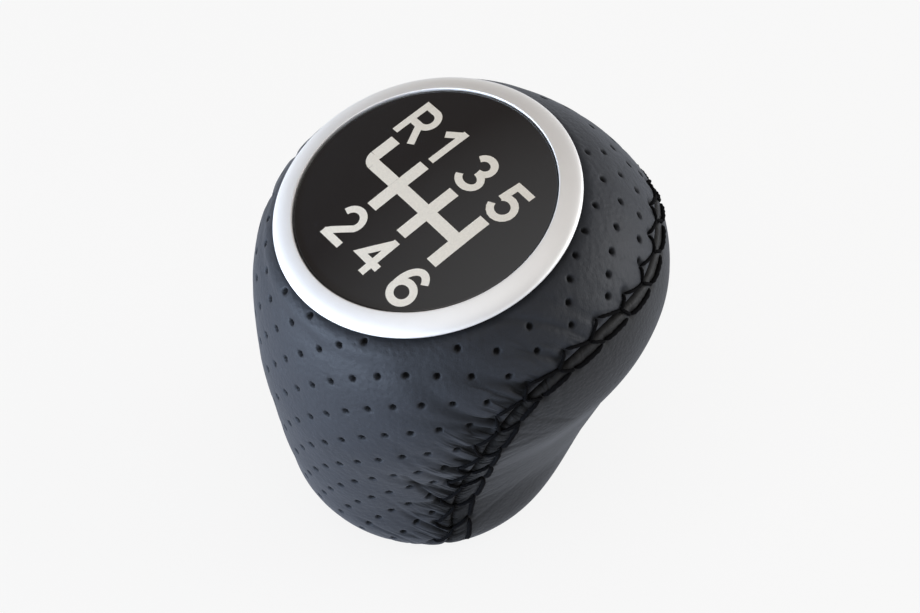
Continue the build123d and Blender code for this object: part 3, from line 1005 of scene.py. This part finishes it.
def seam_spot(run, across, lift, side):
    """Point and normal on the body at a run and distance from the seam, lifted off it, on either half."""
    s = np.interp(run, SEAM["run"], SEAM["s"])
    turn = np.interp(run, SEAM["run"], SEAM["turn"])
    vector = np.stack([np.interp(run, SEAM["run"], SEAM["across"][:, k]) for k in range(3)], -1)
    s, turn = moved_on_body(s, turn, vector * across[..., None])
    point, _, _, normal = body_frame(s, turn)
    mirror = np.stack([side, np.ones_like(side), np.ones_like(side)], -1)
    return (point + normal * lift[..., None]) * mirror, normal * mirror


def thread_tubes(points, normals, radius):
    """Two ply tubes along many paths at once: a section with two lobes turns along each path to a tip."""
    strands, steps = points.shape[:2]
    along = unit(np.gradient(points, axis=1))
    side = unit(np.cross(along, normals))
    up = np.cross(side, along)
    t = np.linspace(-1, 1, steps)[:, None]
    taper = np.sqrt(np.clip(1 - np.abs(t) ** 7, 0.004, 1))
    phi = full_turn(THREAD_SIDES)
    size = radius * taper * (1 + THREAD_LOBE * np.cos(2 * (phi - THREAD_TWIST * math.pi * t)))
    spokes = np.cos(phi)[:, None] * up[:, :, None] + np.sin(phi)[:, None] * side[:, :, None]
    tubes = points[:, :, None] + size[..., None] * spokes
    quads = grid_faces(steps, THREAD_SIDES)
    fan = np.arange(1, THREAD_SIDES - 1)
    start = np.stack([0 * fan, fan + 1, fan], -1)
    end = np.stack([0 * fan, fan, fan + 1], -1) + (steps - 1) * THREAD_SIDES
    caps = np.concatenate([start, end])
    base = (np.arange(strands) * steps * THREAD_SIDES)[:, None, None]
    return tubes.reshape(-1, 3), [(quads + base).reshape(-1, 4), (caps + base).reshape(-1, 3)]


class KNOB_OT_seam_stitches(bpy.types.Operator):
    """Adds the thread of the seam: dashes on the smooth side, a zigzag on the punched side, and lacing"""

    bl_idname = "knob.seam_stitches"
    bl_label = "Seam stitches"

    def execute(self, context):
        thread = context.scene.knob_thread
        count = int((SEAM_LENGTH - STITCH_SPARE * MM) / thread.pitch)
        start = np.tile(np.arange(count) * thread.pitch, 2)[:, None]
        side = np.repeat([1.0, -1.0], count)[:, None]
        t = np.linspace(0, 1, STRAND_STEPS)[None, :]
        arch = 1 - np.abs(2 * t - 1) ** 5
        random = np.random.default_rng(12)
        loose = 1 + 1.8 * down_seam(0.5, 0.8, start)
        sway = random.uniform(-STITCH_SWAY, STITCH_SWAY, (len(STRANDS), len(start), 1)) * MM * loose
        stray = random.uniform(-KNOT_STRAY, KNOT_STRAY, (3, 2, 2, count + 1, 1)) * MM
        knots = {
            "punched": (0.0, thread.reach, stray[0]),
            "crossing": (thread.pull, CROSSING_OFFSET * MM, stray[1]),
            "smooth": (0.0, -thread.reach, stray[2]),
        }

        def knot(name, step, trim):
            """Run and distance from the seam of each stitch's knot, with its stray."""
            run, across, off = knots[name]
            run_off, across_off = (part[:, step : step + count].reshape(-1, 1) for part in off)
            return start + step * thread.pitch + run + trim * MM + run_off, across + 0.5 * across_off

        tubes = []
        for (first, last, low, high, share), bow in zip(STRANDS, sway):
            (run0, across0), (run1, across1) = knot(*first), knot(*last)
            run = run0 + (run1 - run0) * t
            across = (across0 + (across1 - across0) * t + bow * arch) * stitch_spread(run)
            whole = NOSE_LIFT + (1 - NOSE_LIFT) * smoothstep(*NOSE_RUN, run / MM)
            lift = (low + (high * whole - low) * arch) * MM
            spots, normals = seam_spot(run, across, lift, side + 0 * run)
            tubes.append(thread_tubes(spots, normals, thread.radius * share))
        finish = thread_finish("thread", thread.colour)
        piece = mesh_object("seam_stitches", *joined(tubes), finish)
        stand_for(piece, "thread", "seam_thread")
        return {"FINISHED"}


# Ring and cap


def lathe(profile, columns=LATHE_COLUMNS):
    """Profile of (radius, height) in metres turned about the axis of the top face."""
    local = circles(profile[:, :1], full_turn(columns), profile[:, 1:])
    return (TOP_CENTRE + local @ TOP_AXES).reshape(-1, 3)


def closed_lathe(profile):
    """Points and faces of a closed profile turned once round."""
    rows = len(profile)
    return lathe(profile), [grid_faces(rows + 1, LATHE_COLUMNS) % (rows * LATHE_COLUMNS)]


def poled_lathe(profile):
    """Points and faces of an open profile turned once round, whose first and last points lie on the axis."""
    rows, columns = len(profile) - 2, LATHE_COLUMNS
    points = np.vstack([lathe(profile[1:-1]), lathe(profile[[0, -1]], 1)])
    pole, last_row = rows * columns, (rows - 1) * columns
    start = hub_faces(pole, columns)[:, [0, 2, 1]]
    end = hub_faces(pole + 1, columns) + (0, last_row, last_row)
    return points, [grid_faces(rows, columns), start, end]


def rounded(corners, radius, steps=4):
    """Closed polygon of a profile with its corners rounded by quadratic arcs."""
    before, after = np.roll(corners, 1, axis=0), np.roll(corners, -1, axis=0)
    cut_in = np.minimum(radius, np.linalg.norm(before - corners, axis=1) * 0.45)[:, None]
    cut_out = np.minimum(radius, np.linalg.norm(after - corners, axis=1) * 0.45)[:, None]
    first = corners + unit(before - corners) * cut_in
    last = corners + unit(after - corners) * cut_out
    t = np.linspace(0, 1, steps)[None, :, None]
    arcs = (1 - t) ** 2 * first[:, None] + 2 * t * (1 - t) * corners[:, None] + t * t * last[:, None]
    return arcs.reshape(-1, 2)


class KNOB_OT_trim_ring(bpy.types.Operator):
    """Adds the satin ring round the cap"""

    bl_idname = "knob.trim_ring"
    bl_label = "Trim ring"

    def execute(self, context):
        top = context.scene.knob_top
        outer, bore, crest = top.ring_radius / MM, top.ring_bore / MM, top.ring_crown / MM
        ends = np.array([(outer, RING_LIP), (bore + RING_EDGE, crest)])
        crown = hermite(np.linspace(0, 1, CROWN_STEPS), np.array([0.0, 1.0]), ends, (RING_RISE, RING_RUN_IN))
        corners = np.vstack(
            [
                crown,
                (bore, crest - RING_INNER_DROP),
                (bore, LEDGE_TOP),
                (LEDGE_BORE, LEDGE_TOP),
                (LEDGE_BORE, LEDGE_FOOT),
                (RING_BODY, LEDGE_FOOT),
                (RING_BODY, 0.0),
                (outer - RING_EDGE, RING_UNDERSIDE),
                (outer, RING_EDGE),
            ]
        )
        profile = rounded(corners, RING_ROUNDING) * MM
        finish = satin_finish("satin_trim", top.ring_colour, roughness=0.50, speckle=5200.0, metallic=0.6)
        piece = mesh_object("trim_ring_face", *closed_lathe(profile), finish)
        stand_for(piece, "satin_trim", "trim_ring")
        return {"FINISHED"}


def dome_height(radius, top):
    """Height of the cap's dome at a radius: an arc through its crown and its edge."""
    edge = top.ring_bore - (CAP_GAP + CAP_BEVEL) * MM
    rise = top.cap_crown - top.cap_edge
    ball = (edge**2 + rise**2) / (2 * rise)
    return top.cap_crown - ball + np.sqrt(ball**2 - radius**2)


class KNOB_OT_pattern_cap(bpy.types.Operator):
    """Adds the gloss black cap"""

    bl_idname = "knob.pattern_cap"
    bl_label = "Pattern cap"

    def execute(self, context):
        top = context.scene.knob_top
        bevel, foot = CAP_BEVEL * MM, LEDGE_TOP * MM
        radius = top.ring_bore - CAP_GAP * MM
        edge = radius - bevel
        r = np.concatenate([np.linspace(0, edge * 0.97, 30), np.linspace(edge * 0.98, edge, 4)])
        dome = np.column_stack([r, dome_height(r, top)])
        turn = np.linspace(0, math.pi / 2, 7)[1:]
        corner = np.column_stack([edge + bevel * np.sin(turn), top.cap_edge - bevel * (1 - np.cos(turn))])
        chamfer = CAP_CHAMFER * MM
        wall = [(radius, CAP_WALL * MM), (radius, foot + chamfer), (radius - chamfer, foot), (0, foot)]
        profile = np.vstack([dome, corner, wall])[::-1]
        finish = gloss_finish("gloss_black", top.cap_colour)
        piece = mesh_object("cap_face", *poled_lathe(profile), finish)
        stand_for(piece, "gloss_black", "pattern_cap")
        return {"FINISHED"}


# Print


def ribbon(path, width):
    """Flat band along a path: each point moves sideways both ways, further at a corner to keep the width."""
    steps = unit(np.diff(path, axis=0))
    closed = np.allclose(path[0], path[-1])
    before = np.vstack([steps[-1:] if closed else steps[:1], steps])
    after = np.vstack([steps, steps[:1] if closed else steps[-1:]])
    along = unit(before + after)
    side = np.column_stack([-along[:, 1], along[:, 0]])
    reach = width / 2 / np.maximum(dot(along, before), 0.5)
    return np.concatenate([path + side * reach[:, None], path - side * reach[:, None]])


def ribbon_faces(count):
    """Quads between the two sides of a ribbon."""
    i = np.arange(count - 1)
    return np.stack([i + count, i + count + 1, i + 1, i], -1)


def arc(centre, radii, first, last, count=17):
    """Points of an elliptic arc between two angles in degrees."""
    turn = np.radians(np.linspace(first, last, count))
    return np.column_stack([centre[0] + radii[0] * np.cos(turn), centre[1] + radii[1] * np.sin(turn)])


def line(*points):
    """Points along straight runs, close enough to follow the dome."""
    points = np.array(points, float)
    runs = [np.linspace(a, b, 4)[:-1] for a, b in zip(points, points[1:])]
    return np.vstack([*runs, points[-1:]])


def label_strokes():
    """Middle lines of the strokes of each label, about its centre, in mm."""
    half = LABEL_HEIGHT / 2
    low, high = LABEL_STROKE / 2 - half, half - LABEL_STROKE / 2
    bowl = 1.08
    waist = 2 * bowl - high
    loop = [
        line((-1.5, high), (0.3, high)),
        arc((0.3, bowl), (1.3, high - bowl), 84, -84),
        line((0.3, waist), (-1.5, waist)),
    ]
    swan = [arc((0, 0.95), (1.5, high - 0.95), 172, -30), line((-0.9, low + 0.6), (-1.35, low))]
    return {
        "R": [
            line((-1.5, -half), (-1.5, half)),
            np.vstack(loop),
            line((0.15, waist + 0.14), (1.8, -half)),
        ],
        "1": [line((0.5, -half), (0.5, half)), line((0.5, high + 0.05), (-1.45, high - 1.45))],
        "2": [np.vstack(swan), line((-1.72, low), (1.85, low))],
        "3": [
            arc((-0.05, 1.25), (1.35, high - 1.25), 165, -90),
            arc((0, low + 1.25), (1.62, 1.25), 90, -165),
        ],
        "4": [
            line((0.75, -half), (0.75, half)),
            line((0.75, high + 0.1), (-1.6, -1.15), (2.0, -1.15)),
        ],
        "5": [
            line((1.65, high), (-0.95, high), (-1.2, -0.2)),
            arc((0, low + 1.5), (1.6, 1.5), 140, -165),
        ],
        "6": [
            arc((0, low + 1.45), (1.55, 1.45), 195, 555, 33),
            arc((0.1, -0.2), (1.66, high + 0.2), 195, 40),
        ],
    }


def gate_bars():
    """Bands of the gate that meet edge to edge: four columns, the bars between them, and a rounded corner."""
    half, bend, cross = GATE_WIDTH / 2, GATE_BEND, GATE_CROSS
    low, high = cross - GATE_UP, cross + GATE_UP
    reverse, *columns = GATE_COLUMNS
    spans = [((x, low), (x, high)) for x in columns]
    spans += [((a + half, cross), (b - half, cross)) for a, b in zip(columns, columns[1:])]
    spans.append(((reverse + bend, cross), (columns[0] - half, cross)))
    spans.append(((reverse, cross + bend), (reverse, high)))
    paths = [np.linspace(a, b, GATE_STEPS) for a, b in spans]
    return [*paths, arc((reverse + bend, cross + bend), (bend, bend), 180, 270, GATE_STEPS)]


class KNOB_OT_gate_print(bpy.types.Operator):
    """Adds the printed gate pattern with its numbers on the cap"""

    bl_idname = "knob.gate_print"
    bl_label = "Gate print"

    def execute(self, context):
        top = context.scene.knob_top
        bands = [(path, GATE_WIDTH) for path in gate_bars()]
        strokes = label_strokes()
        for text, column, way, shift in LABELS:
            centre = np.array([GATE_COLUMNS[column], GATE_CROSS + way * LABEL_REACH]) + shift
            bands += [(stroke * LABEL_SIZE + centre, LABEL_STROKE * LABEL_SIZE) for stroke in strokes[text]]
        ribbons = []
        for number, (path, width) in enumerate(bands):
            layer = np.full(2 * len(path), number % LAYERS)
            ribbons.append((np.column_stack([ribbon(path, width), layer]), [ribbon_faces(len(path))]))
        points, faces = joined(ribbons)
        flat, layer = points[:, :2] * MM, points[:, 2]
        dome = dome_height(np.hypot(flat[:, 0], flat[:, 1]), top)
        height = dome + top.print_lift * (1 + LAYER_RISE * layer)
        placed = TOP_CENTRE + np.column_stack([flat, height]) @ TOP_AXES
        finish = print_finish("gate_print", top.print_colour)
        piece = mesh_object("gate_print", placed, faces, finish)
        stand_for(piece, "gloss_black")
        return {"FINISHED"}


class KNOB_OT_inner_parts(bpy.types.Operator):
    """Gives the core, the collar, the bush and the clip their finishes"""

    bl_idname = "knob.inner_parts"
    bl_label = "Inner parts"

    def execute(self, context):
        finishes = {
            "knob_core": moulded_finish("core_plastic", (0.03, 0.03, 0.032), 0.55),
            "base_collar": moulded_finish("collar_plastic", (0.018, 0.018, 0.019), 0.42),
            "lever_bush": satin_finish("bush_metal", (0.62, 0.60, 0.57), 0.36, 3000.0),
            "lever_clip": satin_finish("clip_steel", (0.48, 0.49, 0.51), 0.28, 3000.0),
        }
        for name, finish in finishes.items():
            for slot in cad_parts[name].material_slots:
                slot.material = finish
        return {"FINISHED"}


# Stage


def camera_axes():
    """The camera's right, up and back, from its turn round the knob and its rise."""
    level = math.cos(CAMERA_RISE)
    back = np.array(
        [math.sin(CAMERA_TURN) * level, -math.cos(CAMERA_TURN) * level, math.sin(CAMERA_RISE)]
    )
    right = np.array([math.cos(CAMERA_TURN), math.sin(CAMERA_TURN), 0.0])
    return right, np.cross(back, right), back


def area_light(name, place, size, power, colour):
    """Rectangular soft light at a place, turned to face the knob."""
    lamp = bpy.data.lights.new(name, "AREA")
    lamp.shape = "RECTANGLE"
    lamp.size, lamp.size_y = size
    lamp.energy = power
    lamp.color = colour
    light = bpy.data.objects.new(name, lamp)
    light.location = place
    light.rotation_euler = (Vector(LAMP_AIM) - Vector(place)).to_track_quat("-Z", "Y").to_euler()
    bpy.context.collection.objects.link(light)


class KNOB_OT_stage(bpy.types.Operator):
    """Adds the floor, the soft light and the camera"""

    bl_idname = "knob.stage"
    bl_label = "Stage"

    def execute(self, context):
        scene = context.scene
        scene.view_settings.view_transform = "Standard"
        right, up, back = camera_axes()
        lens = bpy.data.cameras.new("camera")
        lens.sensor_width = SENSOR_WIDTH
        lens.lens = FOCAL_PIXELS / IMAGE_WIDTH * SENSOR_WIDTH
        lens.clip_start = 0.01
        eye = bpy.data.objects.new("camera", lens)
        place = TOP_CENTRE + back * CAMERA_DISTANCE - right * CAMERA_OFFSET[0] - up * CAMERA_OFFSET[1]
        columns = np.vstack([right, up, back, place])
        eye.matrix_world = Matrix(np.column_stack([columns, [0, 0, 0, 1]]).T.tolist())
        scene.collection.objects.link(eye)
        scene.camera = eye
        self.floor(scene.knob_stage)
        self.light(scene, right, back)
        return {"FINISHED"}

    def floor(self, stage):
        """Large round floor, white to the camera apart from the knob's shadow, and clear from below."""
        rings = circles(np.array(FLOOR_RADII)[:, None], full_turn(FLOOR_COLUMNS), -FLOOR_GAP)
        points = np.vstack([rings.reshape(-1, 3), (0.0, 0.0, -FLOOR_GAP)])
        rows = grid_faces(len(FLOOR_RADII), FLOOR_COLUMNS)[:, ::-1]
        hub = hub_faces(len(points) - 1, FLOOR_COLUMNS)
        f = Finish("floor")
        shown = sum(f.node("ShaderNodeLightPath", output=kind) for kind in SEEN_RAYS)
        seen = f.node("ShaderNodeLightPath", output=SEEN_RAYS[0])
        plain = f.node("ShaderNodeBsdfDiffuse", None, {"Color": rgba(stage.floor_colour)})
        glow = f.blend(seen, FLOOR_MIRRORED, FLOOR_SEEN)
        white = f.node("ShaderNodeEmission", None, {"Color": glow, "Strength": 1.0})
        mixed = f.node("ShaderNodeMixShader", None, {0: shown * FLOOR_GLOW_SHARE, 1: plain, 2: white})
        below = f.node("ShaderNodeNewGeometry", output="Backfacing")
        clear = f.node("ShaderNodeBsdfTransparent")
        surface = f.node("ShaderNodeMixShader", None, {0: below, 1: mixed, 2: clear})
        f.node("ShaderNodeOutputMaterial", None, {"Surface": surface})
        piece = mesh_object("floor", points, [rows, hub], f.owner)

    def light(self, scene, right, back):
        """Pale dome with a dark band below a bright top, a cool key, a weak top light and a fill."""
        scene.world = bpy.data.worlds.new("studio")
        f = Finish("studio", scene.world)
        seen, *mirrored = [f.node("ShaderNodeLightPath", output=kind) for kind in SEEN_RAYS]
        way = f.node("ShaderNodeTexCoord", output="Generated")
        height = f.node("ShaderNodeSeparateXYZ", None, {0: way}, output="Z")
        backdrop = (1.6 - height * 4.0).clamped()
        dome = f.node("ShaderNodeValToRGB", {"stops": DOME}, {0: height})
        colour = f.blend(seen + sum(mirrored) * backdrop, dome, WHITE)
        sky = f.node("ShaderNodeBackground", None, {"Color": colour, "Strength": 1.0})
        f.node("ShaderNodeOutputWorld", None, {"Surface": sky})
        level_back = back * (1, 1, 0)
        for name, (near, aside, up, size, tint) in LAMPS.items():
            place = tuple(level_back * near + right * aside + (0, 0, up))
            area_light(name, place, size, getattr(scene.knob_stage, name), tint)


class KNOB_PT_sidebar(bpy.types.Panel):
    """Lists the pieces of the knob and their settings"""

    bl_idname = "KNOB_PT_sidebar"
    bl_label = "Gear shift knob"
    bl_space_type = "VIEW_3D"
    bl_region_type = "UI"
    bl_category = "Knob"

    def draw(self, context):
        for operator in OPERATORS:
            self.layout.operator(operator.bl_idname)
        for name in GROUPS:
            group = getattr(context.scene, name)
            for key in group.bl_rna.properties.keys():
                if key not in {"rna_type", "name"}:
                    self.layout.prop(group, key)


OPERATORS = (
    KNOB_OT_punched_leather,
    KNOB_OT_smooth_leather,
    KNOB_OT_seam_stitches,
    KNOB_OT_trim_ring,
    KNOB_OT_pattern_cap,
    KNOB_OT_gate_print,
    KNOB_OT_inner_parts,
    KNOB_OT_stage,
)
GROUPS = {
    "knob_leather": KnobLeatherSettings,
    "knob_thread": KnobThreadSettings,
    "knob_top": KnobTopSettings,
    "knob_stage": KnobStageSettings,
}


def register():
    """Registers the settings, the operators and the panel."""
    for name, group in GROUPS.items():
        bpy.utils.register_class(group)
        setattr(bpy.types.Scene, name, PointerProperty(type=group))
    for item in (*OPERATORS, KNOB_PT_sidebar):
        bpy.utils.register_class(item)


def unregister():
    """Takes back all that register adds, the last first."""
    for item in reversed((*OPERATORS, KNOB_PT_sidebar)):
        bpy.utils.unregister_class(item)
    for name, group in reversed(GROUPS.items()):
        delattr(bpy.types.Scene, name)
        bpy.utils.unregister_class(group)


def main():
    """Registers the classes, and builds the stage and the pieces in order."""
    register()
    bpy.ops.knob.stage()
    bpy.ops.knob.punched_leather()
    bpy.ops.knob.smooth_leather()
    bpy.ops.knob.seam_stitches()
    bpy.ops.knob.trim_ring()
    bpy.ops.knob.pattern_cap()
    bpy.ops.knob.gate_print()
    bpy.ops.knob.inner_parts()


if __name__ == "__main__":
    main()
